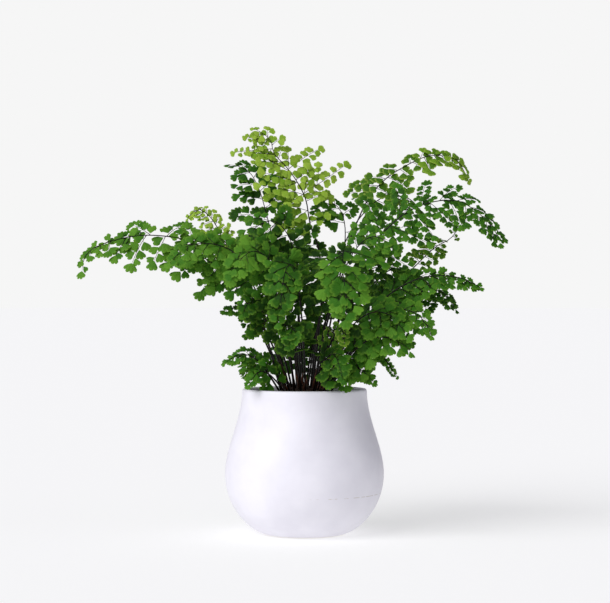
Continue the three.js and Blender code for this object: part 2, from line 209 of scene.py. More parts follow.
def glazedStoneware():
    # white satin glaze over stoneware: cool white, soft broad highlights, a faint orange-peel skin
    look = potLook
    material, tree = newMaterial("glazed stoneware")
    place = addNode(tree, "TexCoord").outputs["Object"]
    cloud = addNode(tree, "TexNoise", links={"Vector": place}, values={"Scale": 28, "Detail": 3})
    skin = addNode(tree, "TexNoise", links={"Vector": place}, values={"Scale": 420, "Detail": 2})
    speck = addNode(tree, "TexVoronoi", links={"Vector": place}, values={"Scale": 260})
    colour = addNode(tree, "ValToRGB", links={"Fac": cloud.outputs["Fac"]},
                     stops=[(0.35, linear(look["glazeShade"])), (0.68, linear(look["glaze"]))])
    speckMask = addNode(tree, "ValToRGB", links={"Fac": speck.outputs["Distance"]},
                        stops=[(0.02, (1, 1, 1, 1)), (0.06, (0, 0, 0, 1))])
    pinhole = addNode(tree, "Mix", data_type="RGBA",
                      links={0: speckMask.outputs["Color"], 6: colour.outputs["Color"]},
                      values={7: linear(look["pinhole"])})
    axes = addNode(tree, "SeparateXYZ", links={"Vector": place}).outputs
    height = axes["Z"]
    footMask = addNode(tree, "MapRange", links={"Value": height},
                       values={"From Min": 0.4 * mm, "From Max": 1.0 * mm, "To Min": 1, "To Max": 0})
    # the mould line shows as a broken row of worn dashes on the pot's right half
    offLine = addNode(tree, "Math", operation="SUBTRACT", links={0: height}, values={1: look["mouldLine"]})
    fromLine = addNode(tree, "Math", operation="ABSOLUTE", links={0: offLine.outputs[0]})
    nearLine = addNode(tree, "MapRange", links={"Value": fromLine.outputs[0]},
                       values={"From Max": look["mouldWear"], "To Min": 1, "To Max": 0})
    dashes = addNode(tree, "TexNoise", links={"Vector": place}, values={"Scale": 160, "Detail": 2})
    dashMask = addNode(tree, "MapRange", links={"Value": dashes.outputs["Fac"]},
                       values={"From Min": 0.45, "From Max": 0.53})
    rightHalf = addNode(tree, "MapRange", links={"Value": axes["X"]},
                        values={"From Min": -8 * mm, "From Max": 4 * mm})
    lineWear = addNode(tree, "Math", operation="MULTIPLY",
                       links={0: nearLine.outputs["Result"], 1: dashMask.outputs["Result"]})
    wear = addNode(tree, "Math", operation="MULTIPLY",
                   links={0: lineWear.outputs[0], 1: rightHalf.outputs["Result"]})
    lined = addNode(tree, "Mix", data_type="RGBA",
                    links={0: wear.outputs[0], 6: pinhole.outputs[2]}, values={7: linear(look["worn"])})
    body = addNode(tree, "Mix", data_type="RGBA",
                   links={0: footMask.outputs["Result"], 6: lined.outputs[2]},
                   values={7: linear(look["bisque"])})
    rough = addNode(tree, "MapRange", links={"Value": cloud.outputs["Fac"]},
                    values={"To Min": look["roughness"] - 0.05, "To Max": look["roughness"] + 0.08})
    bump = addNode(tree, "Bump", links={"Height": skin.outputs["Fac"]},
                   values={"Strength": 0.12, "Distance": 0.4 * mm})
    shader = addNode(tree, "BsdfPrincipled",
                     links={"Base Color": body.outputs[2], "Roughness": rough.outputs["Result"],
                            "Normal": bump.outputs["Normal"]},
                     values={"IOR": 1.5, "Coat Weight": 0.12, "Coat Roughness": 0.4})
    finishMaterial(tree, shader.outputs["BSDF"])
    return material


def makePot():
    look = potLook
    bm = spinProfile(potOutline(), look["steps"])
    for vert in bm.verts:
        # hand-thrown unevenness, fading out at the foot and the lip
        calm = min(1, vert.co.z / look["calmFoot"], max(0, rimHeight - vert.co.z) / look["calmLip"])
        if calm > 0 and vert.co.xy.length > 10 * mm:
            push = noise.noise(vert.co * look["waves"]) * look["waviness"] * calm
            vert.co += Vector((vert.co.x, vert.co.y, 0)).normalized() * push
    newPiece("glazed_pot", meshFrom(bm, "glazed_pot"), glazedStoneware(), "pot")


# Soil, its crumbs and bits, and the crown.
soilLook = dict(crumbs=620, rise=1.6 * mm, fall=2 * mm, reach=57 * mm, clods=95, grains=260,
                wallGap=0.3 * mm, steps=120, sideSteps=12, topSteps=34, seed=11,
                dark="1c130d", mid="33241a", light="54402d")


def pottingSoil():
    # moist peat and bark crumbs: nearly black with brown grains, no shine
    material, tree = newMaterial("moist potting soil")
    place = addNode(tree, "TexCoord").outputs["Object"]
    grain = addNode(tree, "TexNoise", links={"Vector": place}, values={"Scale": 340, "Detail": 8})
    clod = addNode(tree, "TexVoronoi", links={"Vector": place}, values={"Scale": 210})
    mixed = addNode(tree, "Math", operation="MULTIPLY",
                    links={0: grain.outputs["Fac"], 1: clod.outputs["Distance"]})
    colour = addNode(tree, "ValToRGB", links={"Fac": mixed.outputs["Value"]},
                     stops=[(0.08, linear(soilLook["dark"])), (0.28, linear(soilLook["mid"])),
                            (0.55, linear(soilLook["light"]))])
    bump = addNode(tree, "Bump", links={"Height": grain.outputs["Fac"]},
                   values={"Strength": 0.8, "Distance": 0.8 * mm})
    shader = addNode(tree, "BsdfPrincipled",
                     links={"Base Color": colour.outputs["Color"], "Normal": bump.outputs["Normal"]},
                     values={"Roughness": 0.93, "Specular IOR Level": 0.25})
    finishMaterial(tree, shader.outputs["BSDF"])
    return material


def soilHeight(x, y):
    # the soil's surface: highest by the crown, crumbly all over
    look = soilLook
    away = max(0, math.hypot(x, y) - crownRadius)
    slope = away / (look["reach"] - crownRadius) * look["fall"]
    place = Vector((x, y, 0))
    lumps = noise.noise(place * look["clods"]) * 0.9 + noise.noise(place * look["grains"]) * 0.5
    return soilHigh.z - slope + lumps * look["rise"] - 0.6 * mm


def makeSoilBody(material, edge):
    # from the pot's floor up to 4 mm below the surface it follows the wall, then it is crumbly
    look = soilLook
    outline = [(0, soilLow.z), (potRadius(soilLow.z) - 12 * mm, soilLow.z)]
    for i in range(1, look["sideSteps"] + 1):
        height = soilLow.z + 5 * mm + (soilHigh.z - soilLow.z - 9 * mm) * i / look["sideSteps"]
        outline.append((potRadius(height) - potLook["wall"] - 0.4 * mm, height))
    outline += [(edge * (1 - i / look["topSteps"]), soilHigh.z) for i in range(look["topSteps"] + 1)]
    bm = spinProfile(outline, look["steps"])
    for vert in bm.verts:
        if vert.co.z > soilHigh.z - 1 * mm:
            vert.co.z = soilHeight(vert.co.x, vert.co.y)
    newPiece("soil_body", meshFrom(bm, "soil_body"), material, "potting_soil")


def makeCrumbs(material, edge):
    chance = random.Random(soilLook["seed"])
    crumb = bmesh.new()
    bmesh.ops.create_icosphere(crumb, subdivisions=1, radius=1)
    template = meshFrom(crumb, "crumb_template")
    bm = bmesh.new()
    for _ in range(soilLook["crumbs"]):
        turn = chance.uniform(0, math.tau)
        away = edge * 0.97 * math.sqrt(chance.uniform(0.12, 1))
        x, y = away * math.cos(turn), away * math.sin(turn)
        size = chance.uniform(0.5, 1.7) * mm
        size *= 1.5 if chance.random() < 0.08 else 1
        place = Matrix.Translation((x, y, soilHeight(x, y) + size * 0.15))
        tilt = Matrix.Rotation(chance.uniform(0, math.tau), 4, "X") @ Matrix.Rotation(turn * 3, 4, "Z")
        shape = Matrix.Diagonal((size, size * chance.uniform(0.5, 0.9), size * 0.6, 1))
        addCopy(bm, template, place @ tilt @ shape)
    newPiece("soil_crumbs", meshFrom(bm, "soil_crumbs"), material)


def makeSoil():
    edge = potRadius(soilHigh.z) - potLook["wall"] - soilLook["wallGap"]
    material = pottingSoil()
    makeSoilBody(material, edge)
    makeCrumbs(material, edge)


crownLook = dict(knobs=30, stubs=34, scales=520, seed=5, fall=0.62, stipeDepth=4 * mm,
                 knobSize=(5.5, 7.5), scaleLength=(2.5, 5.5), scaleDepth=2.6 * mm,
                 stubLength=(8, 24), stubDepth=3 * mm, stubRadii=(1.0, 0.85, 0.75, 0.35),
                 barkDark="150c07", bark="2a1a10", barkLight="5a3820",
                 stubDark="2e140a", stub="5c2c14", stubTip="8a4a22")
goldenAngle = math.pi * (3 - math.sqrt(5))


def crownSurface(x, y):
    away = min(1, math.hypot(x, y) / crownRadius)
    return crownLow.z + (crownTop - crownLow.z) * (1 - crownLook["fall"] * away ** 2)


def scalyRhizome():
    # old fern rhizome: dark brown, dull, with paler papery scale edges
    material, tree = newMaterial("scaly rhizome")
    place = addNode(tree, "TexCoord").outputs["Object"]
    grain = addNode(tree, "TexNoise", links={"Vector": place}, values={"Scale": 240, "Detail": 5})
    colour = addNode(tree, "ValToRGB", links={"Fac": grain.outputs["Fac"]},
                     stops=[(0.3, linear(crownLook["barkDark"])), (0.52, linear(crownLook["bark"])),
                            (0.72, linear(crownLook["barkLight"]))])
    bump = addNode(tree, "Bump", links={"Height": grain.outputs["Fac"]},
                   values={"Strength": 0.7, "Distance": 0.5 * mm})
    shader = addNode(tree, "BsdfPrincipled",
                     links={"Base Color": colour.outputs["Color"], "Normal": bump.outputs["Normal"]},
                     values={"Roughness": 0.8})
    finishMaterial(tree, shader.outputs["BSDF"])
    return material


def deadStipe():
    # dried stipe stubs: reddish brown, straw-like at the broken end
    material, tree = newMaterial("dead stipe")
    place = addNode(tree, "TexCoord").outputs["Object"]
    grain = addNode(tree, "TexNoise", links={"Vector": place}, values={"Scale": 90, "Detail": 4})
    colour = addNode(tree, "ValToRGB", links={"Fac": grain.outputs["Fac"]},
                     stops=[(0.35, linear(crownLook["stubDark"])), (0.5, linear(crownLook["stub"])),
                            (0.68, linear(crownLook["stubTip"]))])
    shader = addNode(tree, "BsdfPrincipled", links={"Base Color": colour.outputs["Color"]},
                     values={"Roughness": 0.5})
    finishMaterial(tree, shader.outputs["BSDF"])
    return material


def makeRhizome(chance):
    look = crownLook
    knob = bmesh.new()
    bmesh.ops.create_icosphere(knob, subdivisions=3, radius=1)
    knobTemplate = meshFrom(knob, "knob_template")
    scale = bmesh.new()
    bmesh.ops.create_cone(scale, cap_ends=True, segments=5, radius1=0.3, radius2=0.03, depth=1)
    bmesh.ops.translate(scale, verts=scale.verts, vec=(0, 0, 0.5))
    scaleTemplate = meshFrom(scale, "scale_template")
    bm = bmesh.new()
    for i in range(look["knobs"]):
        away = crownRadius * 0.86 * math.sqrt((i + 0.5) / look["knobs"])
        turn = i * goldenAngle
        x, y = away * math.cos(turn), away * math.sin(turn)
        size = chance.uniform(*look["knobSize"]) * mm
        place = Matrix.Translation((x, y, crownSurface(x, y) - size * 0.75))
        tilt = Matrix.Rotation(chance.uniform(0, math.tau), 4, "Z")
        shape = Matrix.Diagonal((size * 1.15, size * 0.85, size * 0.75, 1))
        for vert in addCopy(bm, knobTemplate, place @ tilt @ shape):
            vert.co += vert.co.normalized() * noise.noise(vert.co * 420) * 0.7 * mm
            vert.co.z = max(vert.co.z, crownLow.z)
    for _ in range(look["scales"]):
        away = crownRadius * 0.97 * math.sqrt(chance.random())
        turn = chance.uniform(0, math.tau)
        x, y = away * math.cos(turn), away * math.sin(turn)
        lean = Vector((x, y, 12 * mm)).normalized()
        lean += Vector([chance.uniform(-0.5, 0.5) for _ in range(3)])
        length = chance.uniform(*look["scaleLength"]) * mm
        aim = lean.to_track_quat("Z", "Y").to_matrix().to_4x4()
        shape = Matrix.Diagonal((1.2 * mm, 0.5 * mm, length, 1))
        place = Matrix.Translation((x, y, crownSurface(x, y) - look["scaleDepth"]))
        addCopy(bm, scaleTemplate, place @ aim @ shape)
    newPiece("rhizome", meshFrom(bm, "rhizome"), scalyRhizome(), "rhizome_crown")


def makeStubs(chance):
    # what is left of old stipes: short, leaning out and a little bent
    look = crownLook
    stubs = newCurve("old_stubs")
    for _ in range(look["stubs"]):
        away = crownRadius * 0.9 * math.sqrt(chance.random())
        turn = chance.uniform(0, math.tau)
        x, y = away * math.cos(turn), away * math.sin(turn)
        base = Vector((x, y, crownSurface(x, y) - look["stubDepth"]))
        lean = Vector((x * 0.5, y * 0.5, 30 * mm)).normalized()
        lean += Vector((chance.uniform(-0.25, 0.25), chance.uniform(-0.25, 0.25), 0))
        length = chance.uniform(*look["stubLength"]) * mm
        points = [base + (lean * t - up * 0.1 * t * t) * length for t in (0, 0.35, 0.7, 1)]
        addStrand(stubs, points, [radius * mm for radius in look["stubRadii"]])
    newPiece("old_stubs", curveToMesh(stubs, 2), deadStipe())


def makeCrown():
    chance = random.Random(crownLook["seed"])
    makeRhizome(chance)
    makeStubs(chance)


# The fronds, as the frame has them.
# seat is where the stipe stands on the crown, as shares of its radius; the route's points are in
# millimetres from the middle of the rim. start is where the blade begins, reach its longest pinna.
# tone is each frond's green, partly its own colour and partly painted shade, set lower for fronds that
# others overhang
fronds = [
    dict(name="frond_01_left_long", seat=(-0.54, -0.18), start=0.46, reach=42,
         leaf=12, toneAndShade=0.75, young=False, droop=0.3, branch=0.3,
         route=[(-22, -8, 25), (-36, -13, 63), (-64, -20, 107), (-108, -28, 144), (-149, -34, 152),
                (-178, -38, 149), (-200, -41, 142), (-209, -43, 137), (-214, -44, 131), (-216, -44, 125)],
         pinnae=[(0.02, 1, 28, 66, 12), (0.06, -1, 30, 62, 12), (0.14, 1, 27, 66, 12),
                 (0.18, -1, 30, 58, 12), (0.27, 1, 22, 64, 11.5), (0.31, -1, 25, 56, 11.5),
                 (0.44, 1, 37, 104, 11), (0.445, -1, 24, 60, 11.5), (0.535, 1, 30, 57, 10.5),
                 (0.56, -1, 28, 48, 11), (0.62, 1, 12, 45, 10), (0.66, -1, 8, 46, 10),
                 (0.685, -1, 17, 52, 10.5), (0.7, 1, 9, 50, 9.5), (0.77, 1, 7, 50, 9),
                 (0.775, -1, 8, 48, 10), (0.84, -1, 4, 50, 9), (0.86, 1, 5, 45, 8.5),
                 (0.91, -1, 4, 45, 8), (0.95, 1, 4, 40, 7.5)]),
    dict(name="frond_02_left_young", seat=(-0.43, 0.21), start=0.66, reach=17,
         leaf=6, toneAndShade=0.9, young=True,
         route=[(-22, 10, 35), (-45, 18, 90), (-69, 26, 132), (-83, 30, 151), (-91, 33, 166),
                (-98, 35, 175), (-108, 36, 181), (-117, 37, 175)]),
    dict(name="frond_03_left_shoulder", seat=(-0.3, -0.42), start=0.52, reach=24,
         leaf=11.5, toneAndShade=0.68, young=False,
         route=[(-19, -21, 45), (-42, -42, 100), (-70, -58, 136), (-97, -70, 143), (-114, -77, 139),
                (-123, -81, 130)]),
    dict(name="frond_04_left_mid", seat=(-0.6, -0.4), start=0.66, reach=14,
         leaf=10.5, toneAndShade=0.78, young=False, droop=0.1, hang=0.1,
         route=[(-30, -20, 40), (-55, -32, 83), (-82, -42, 118), (-106, -48, 132), (-124, -50, 128)]),
    dict(name="frond_05_upper_left", seat=(-0.2, 0.42), start=0.46, reach=48,
         leaf=12, toneAndShade=0.2, young=False, droop=0.05, open=(80, 50),
         route=[(-12, 20, 45), (-24, 28, 115), (-38, 34, 173), (-47, 38, 203), (-57, 41, 220),
                (-69, 44, 226)]),
    dict(name="frond_06_top_light", seat=(0.29, 0.1), start=0.57, reach=64,
         leaf=8.5, toneAndShade=0.75, young=True, droop=0, hang=0.05, branch=0.42, loose=0.5,
         route=[(13, 4, 45), (17, 5, 95), (14, 5, 140), (6, 5, 163), (1, 5, 190), (-8, 5, 208),
                (-20, 5, 224), (-31, 5, 236), (-33, 5, 246), (-38, 5, 253), (-46, 5, 258)],
         pinnae=[(0.03, -1, 26, 70, 9), (0.09, 1, 14, 75, 8.5), (0.19, -1, 38, 68, 9),
                 (0.27, 1, 16, 70, 8.5), (0.33, -1, 44, 60, 9), (0.34, 1, 54, 84, 9),
                 (0.44, -1, 34, 42, 9), (0.47, 1, 18, 84, 8.5), (0.56, -1, 28, 32, 9),
                 (0.58, 1, 43, 91, 9), (0.66, -1, 20, 40, 8.5), (0.7, 1, 9, 70, 8),
                 (0.75, -1, 22, 56, 8), (0.8, -1, 36, 82, 5.5), (0.83, 1, 8, 50, 8.5),
                 (0.88, -1, 22, 62, 5.5), (0.91, 1, 6, 60, 8), (0.95, -1, 6, 50, 8)]),
    dict(name="frond_07_fork", seat=(0.32, 0.42), start=0.78, reach=24,
         leaf=11, toneAndShade=0.6, young=False,
         route=[(18, 16, 50), (30, 20, 105), (41, 21, 148), (38, 22, 176), (28, 23, 187), (17, 24, 184)]),
    dict(name="frond_08_right_top", seat=(0.5, 0.14), start=0.65, reach=23,
         leaf=8.5, toneAndShade=-0.45, young=True, droop=0.05, hang=0.1, fresh=1.15, branch=0.25,
         route=[(22, 6, 45), (32, 8, 95), (42, 9, 139), (53, 11, 167), (64, 12, 190), (80, 14, 209),
                (97, 16, 221), (125, 18, 234), (142, 19, 234), (155, 20, 229), (164, 21, 214)],
         pinnae=[(0, -1, 24, 118, 9.5), (0.05, -1, 22, 124, 9), (0.02, 1, 22, 70, 9),
                 (0.14, -1, 13, 110, 9), (0.16, 1, 22, 68, 9), (0.27, -1, 12, 122, 8),
                 (0.29, 1, 9, 60, 8.5), (0.4, -1, 6, 60, 8), (0.42, 1, 11, 60, 8), (0.5, -1, 8, 60, 9),
                 (0.53, 1, 16, 75, 9), (0.58, -1, 6, 55, 8.5), (0.62, 1, 7, 60, 8.5),
                 (0.66, -1, 5, 55, 8.5), (0.69, 1, 8, 60, 8.5), (0.74, -1, 5, 50, 8.5),
                 (0.77, 1, 7, 60, 8.5), (0.82, -1, 5, 50, 8), (0.85, 1, 6, 55, 8), (0.9, -1, 4, 50, 8),
                 (0.93, 1, 5, 50, 8)]),
    dict(name="frond_09_right_big", seat=(0.58, -0.1), start=0.5, reach=46,
         leaf=9.5, toneAndShade=0.35, young=False, droop=0.12,
         route=[(28, -8, 45), (45, -14, 100), (67, -20, 142), (97, -26, 172), (122, -29, 184),
                (150, -32, 186), (164, -33, 179), (176, -34, 169), (184, -35, 160), (190, -36, 150)]),
    dict(name="frond_10_right_thin", seat=(0.68, 0.34), start=0.6, reach=14,
         leaf=7, toneAndShade=-0.2, young=True,
         route=[(35, 20, 35), (70, 34, 80), (110, 42, 120), (136, 46, 144), (149, 48, 151),
                (159, 50, 163), (165, 51, 173)],
         pinnae=[(0.27, 1, 9, 60, 7), (0.3, -1, 13, 80, 7), (0.38, 1, 8, 60, 7), (0.4, -1, 15, 95, 7),
                 (0.48, -1, 15, 100, 7), (0.5, 1, 7, 60, 6.5), (0.56, -1, 13, 100, 6.5),
                 (0.58, 1, 6, 60, 6), (0.64, -1, 7, 90, 6), (0.76, 1, 3, 60, 4), (0.8, -1, 3, 60, 4)]),
    dict(name="frond_11_right_mid", seat=(0.66, -0.26), start=0.48, reach=22,
         leaf=9, toneAndShade=0.4, young=False, droop=0.18, open=(46, 30),
         route=[(35, -15, 35), (60, -23, 70), (80, -30, 91), (103, -35, 106), (124, -38, 112),
                (141, -40, 112), (155, -42, 109), (166, -43, 104)]),
    dict(name="frond_12_right_under", seat=(0.8, -0.02), start=0.5, reach=26,
         leaf=9, toneAndShade=0.15, young=False, open=(52, 34),
         route=[(45, -3, 30), (75, -6, 60), (95, -8, 77), (110, -10, 93), (124, -12, 99),
                (138, -14, 95), (146, -16, 85)]),
    dict(name="frond_13_right_low", seat=(0.62, -0.5), start=0.5, reach=22,
         leaf=10, toneAndShade=0.6, young=False, droop=0.1,
         route=[(38, -29, 30), (62, -46, 62), (84, -62, 77), (98, -72, 79), (110, -79, 73),
                (118, -83, 62)]),
    dict(name="frond_14_right_shelf", seat=(0.56, -0.68), start=0.46, reach=20,
         leaf=12, toneAndShade=0.7, young=False,
         route=[(33, -38, 20), (50, -57, 41), (66, -74, 52), (82, -86, 52), (94, -93, 46)]),
    dict(name="frond_15_right_bottom", seat=(0.84, -0.3), start=0.5, reach=5,
         leaf=5, toneAndShade=0.55, young=False,
         route=[(38, -18, 15), (55, -27, 33), (70, -34, 37), (80, -38, 29), (88, -40, 17)]),
    dict(name="frond_16_right_rim", seat=(0.48, -0.84), start=0.45, reach=14,
         leaf=9, toneAndShade=0.7, young=False,
         route=[(29, -39, 13), (42, -49, 22.5), (53, -56, 22), (62, -61, 15)]),
    dict(name="frond_17_front_centre", seat=(0.2, -0.4), start=0.66, reach=36,
         leaf=14, toneAndShade=0.62, young=False,
         route=[(11, -24, 45), (19, -46, 95), (30, -74, 128), (36, -95, 135), (36, -112, 126),
                (36, -120, 113), (38, -124, 98), (39, -126, 81)]),
    dict(name="frond_18_left_low", seat=(-0.78, -0.06), start=0.6, reach=10,
         leaf=8, toneAndShade=0.9, young=False,
         route=[(-32, -6, 30), (-46, -10, 60), (-56, -14, 76), (-65, -16, 81), (-73, -18, 80)]),
    dict(name="frond_19_left_lower", seat=(-0.8, -0.34), start=0.72, reach=11,
         leaf=6, toneAndShade=0.75, young=True,
         route=[(-31, -21.5, 28), (-38, -30, 58), (-43, -36, 71), (-52, -40, 71)]),
    dict(name="frond_20_left_bottom", seat=(-0.76, -0.58), start=0.42, reach=9,
         leaf=8, toneAndShade=0.78, young=False,
         route=[(-34, -24, 13), (-46, -32, 29), (-57, -38, 35), (-67, -42, 34), (-72, -44, 31)]),
    dict(name="frond_21_left_rim", seat=(-0.56, -0.78), start=0.42, reach=11,
         leaf=10, toneAndShade=0.72, young=False,
         route=[(-29, -32, 10), (-38, -38, 18), (-45, -42, 18), (-50, -46, 13)]),
    dict(name="frond_22_centre_low", seat=(-0.1, -0.88), start=0.5, reach=14,
         leaf=11, toneAndShade=0.25, young=False,
         route=[(-6, -44, 22), (-8, -70, 50), (-10, -90, 63), (-12, -102, 61), (-13, -108, 54)]),
    dict(name="frond_23_front_left", seat=(-0.36, -0.74), start=0.5, reach=13,
         leaf=11, toneAndShade=0.35, young=False,
         route=[(-14, -40, 34), (-20, -64, 70), (-24, -82, 84), (-25, -94, 82), (-25, -100, 75)]),
    dict(name="frond_24_front_low_right", seat=(0.26, -0.92), start=0.45, reach=16,
         leaf=11, toneAndShade=0.3, young=False,
         route=[(13, -46, 16), (21, -67, 32), (27, -82, 37), (31, -91, 32), (34, -96, 22)]),
    dict(name="frond_25_front_young", seat=(0.34, -0.66), start=0.5, reach=11,
         leaf=6, toneAndShade=0.2, young=True,
         route=[(18, -36, 25), (27, -56, 50), (33, -70, 61), (36, -78, 60), (38, -83, 51)]),
    dict(name="frond_26_right_centre", seat=(0.44, -0.36), start=0.45, reach=30,
         leaf=12.5, toneAndShade=0.5, young=False,
         route=[(29, -30, 35), (50, -54, 67), (68, -76, 77), (83, -90, 73), (92, -97, 62)]),
    dict(name="frond_27_left_inner", seat=(-0.5, -0.56), start=0.58, reach=16,
         leaf=10, toneAndShade=0.4, young=False,
         route=[(-26, -31, 35), (-38, -49, 70), (-46, -62, 88), (-52, -70, 90), (-56, -75, 82)]),
    dict(name="frond_28_centre_left", seat=(-0.16, -0.54), start=0.44, reach=28,
         leaf=13, toneAndShade=0.7, young=False,
         route=[(-11, -29, 45), (-23, -51, 100), (-36, -72, 129), (-49, -88, 135), (-60, -99, 127),
                (-66, -104, 116)]),
    dict(name="frond_29_centre", seat=(0.04, -0.66), start=0.44, reach=34,
         leaf=12, toneAndShade=0.28, young=False,
         route=[(-1, -35, 45), (-5, -60, 95), (-10, -86, 120), (-16, -106, 120), (-20, -118, 106),
                (-22, -124, 89)]),
    dict(name="frond_30_centre_top", seat=(-0.12, -0.16), start=0.46, reach=42,
         leaf=11.5, toneAndShade=0.4, young=False,
         route=[(-6, -10, 55), (-8, -18, 117), (-16, -27, 152), (-30, -34, 166), (-46, -38, 161),
                (-56, -40, 148)]),
    dict(name="frond_31_right_shoulder", seat=(0.34, -0.2), start=0.68, reach=17,
         leaf=10.5, toneAndShade=0.5, young=False,
         route=[(20, -14, 55), (34, -24, 105), (50, -36, 138), (64, -42, 150), (74, -48, 149),
                (82, -52, 142)]),
    dict(name="frond_32_right_inner", seat=(0.28, -0.02), start=0.48, reach=30,
         leaf=10, toneAndShade=0.3, young=False,
         route=[(24, -1, 45), (44, -6, 90), (62, -12, 117), (80, -16, 121), (95, -19, 111),
                (104, -21, 95)]),
    dict(name="frond_33_back_left", seat=(-0.68, 0.3), start=0.6, reach=20,
         leaf=11, toneAndShade=0.45, young=False,
         route=[(-33, 18, 35), (-58, 40, 88), (-82, 66, 128), (-100, 92, 143), (-112, 112, 137)]),
    dict(name="frond_34_back_left_low", seat=(-0.78, 0.52), start=0.45, reach=18,
         leaf=10, toneAndShade=0.6, young=False,
         route=[(-30, 28, 15), (-42, 52, 28), (-52, 78, 31), (-57, 98, 24), (-60, 108, 10)]),
    dict(name="frond_35_back_left_high", seat=(-0.36, 0.6), start=0.48, reach=34,
         leaf=11, toneAndShade=0.5, young=False,
         route=[(-17, 29, 50), (-34, 58, 110), (-55, 94, 148), (-76, 128, 150), (-90, 150, 130)]),
    dict(name="frond_36_back_low", seat=(-0.26, 0.86), start=0.16, reach=26,
         leaf=10.5, toneAndShade=0.35, young=False,
         route=[(-9, 40, 20), (-9, 68, 45), (-9, 95, 56), (-9, 117, 48), (-9, 130, 30)]),
    dict(name="frond_37_back", seat=(-0.04, 0.72), start=0.32, reach=44,
         leaf=11.5, toneAndShade=0.5, young=False,
         route=[(-4, 34, 50), (-8, 66, 108), (-9, 104, 146), (-11, 140, 148), (-13, 166, 128)]),
    dict(name="frond_38_back_middle_low", seat=(0.06, 0.94), start=0.16, reach=28,
         leaf=10.5, toneAndShade=0.4, young=False,
         route=[(4, 42, 20), (10, 68, 50), (14, 94, 64), (16, 116, 58), (17, 130, 40)]),
    dict(name="frond_39_back_right", seat=(0.24, 0.74), start=0.46, reach=42,
         leaf=11, toneAndShade=0.5, young=False,
         route=[(13, 36, 42), (33, 68, 90), (56, 102, 114), (76, 132, 107), (88, 151, 84)]),
    dict(name="frond_40_back_right_low", seat=(0.44, 0.84), start=0.24, reach=28,
         leaf=10.5, toneAndShade=0.4, young=False,
         route=[(20, 38, 20), (36, 62, 48), (50, 86, 60), (58, 104, 52), (63, 116, 34)]),
    dict(name="frond_41_right_back", seat=(0.6, 0.58), start=0.56, reach=42,
         leaf=11, toneAndShade=0.45, young=False,
         route=[(30, 29, 40), (59, 56, 90), (90, 84, 120), (118, 108, 118), (136, 123, 98)]),
    dict(name="frond_42_right_back_low", seat=(0.84, 0.26), start=0.45, reach=24,
         leaf=10, toneAndShade=0.4, young=False,
         route=[(38, 18, 22), (58, 42, 50), (72, 64, 63), (80, 82, 58), (84, 93, 42)]),
    dict(name="frond_43_back_right_high", seat=(0.1, 0.46), start=0.7, reach=32,
         leaf=10, toneAndShade=0.5, young=False,
         route=[(12, 24, 55), (30, 40, 120), (56, 56, 172), (84, 70, 196), (110, 80, 194),
                (126, 86, 176)]),
]


def frondRoute(frond):
    # the frame's own route: the seat on the crown, then points above the rim
    x, y = [share * crownRadius for share in frond["seat"]]
    seat = Vector((x, y, crownSurface(x, y) - crownLook["stipeDepth"]))
    return [seat] + [Vector((px * mm, py * mm, pz * mm + rimHeight)) for px, py, pz in frond["route"]]


def smoothRoute(points, perSpan=10):
    # centripetal Catmull-Rom through the points, as the frame's stems run
    line = [2 * points[0] - points[1]] + points + [2 * points[-1] - points[-2]]
    made = []
    for a, b, c, d in zip(line, line[1:], line[2:], line[3:]):
        ta, tb = 0, (b - a).length ** 0.5
        tc = tb + (c - b).length ** 0.5
        td = tc + (d - c).length ** 0.5
        for i in range(perSpan):
            t = tb + (tc - tb) * i / perSpan
            ab = a.lerp(b, t / tb)
            bc = b.lerp(c, (t - tb) / (tc - tb))
            cd = c.lerp(d, (t - tc) / (td - tc))
            left = ab.lerp(bc, t / tc)
            right = bc.lerp(cd, (t - tb) / (td - tb))
            made.append(left.lerp(right, (t - tb) / (tc - tb)))
    return made + [points[-1]]


class Route:
    # a line that can be asked for its point and direction at a share of its length
    def __init__(self, points):
        self.points = points
        self.marks = [0]
        for a, b in zip(points, points[1:]):
            self.marks.append(self.marks[-1] + (b - a).length)
        self.length = self.marks[-1]

    def at(self, share):
        goal = max(0, min(1, share)) * self.length
        for i in range(1, len(self.marks)):
            if self.marks[i] >= goal:
                span = max(1e-9, self.marks[i] - self.marks[i - 1])
                return self.points[i - 1].lerp(self.points[i], (goal - self.marks[i - 1]) / span)
        return self.points[-1].copy()

    def along(self, share, reach=0.012):
        return (self.at(share + reach) - self.at(share - reach)).normalized()


# Leaflets: a few outlines of each kind, laid on every twig.
leafletLook = dict(
    thickness=0.22 * mm, usualSize=11 * mm, rings=(0.05, 0.55, 1.0), cup=0.10, pleat=0.035,
    longer=1.06, roundSides=0.2, rollDown=0.1, creaseAngle=50,
    # each kind: the fan's angle, how many lobes, how deep their notches are
    kinds=[(98, 3, 0.2), (112, 4, 0.19), (90, 3, 0.17), (122, 4, 0.22), (84, 2, 0.2)],
    youngKinds=[(100, 2, 0.12), (116, 3, 0.14)],
    # the spokes crowd towards the notches, which keeps them narrow
    spokesEachLobe=4, crowd=0.68,
    # shadow green, middle green, lit green, margin and the light through it
    mature=("103504", "3a731a", "669b2e", "7aa834", "86b83c"),
    young=("3a6a14", "7aa52a", "a3c446", "b4cb58", "b0d455"))


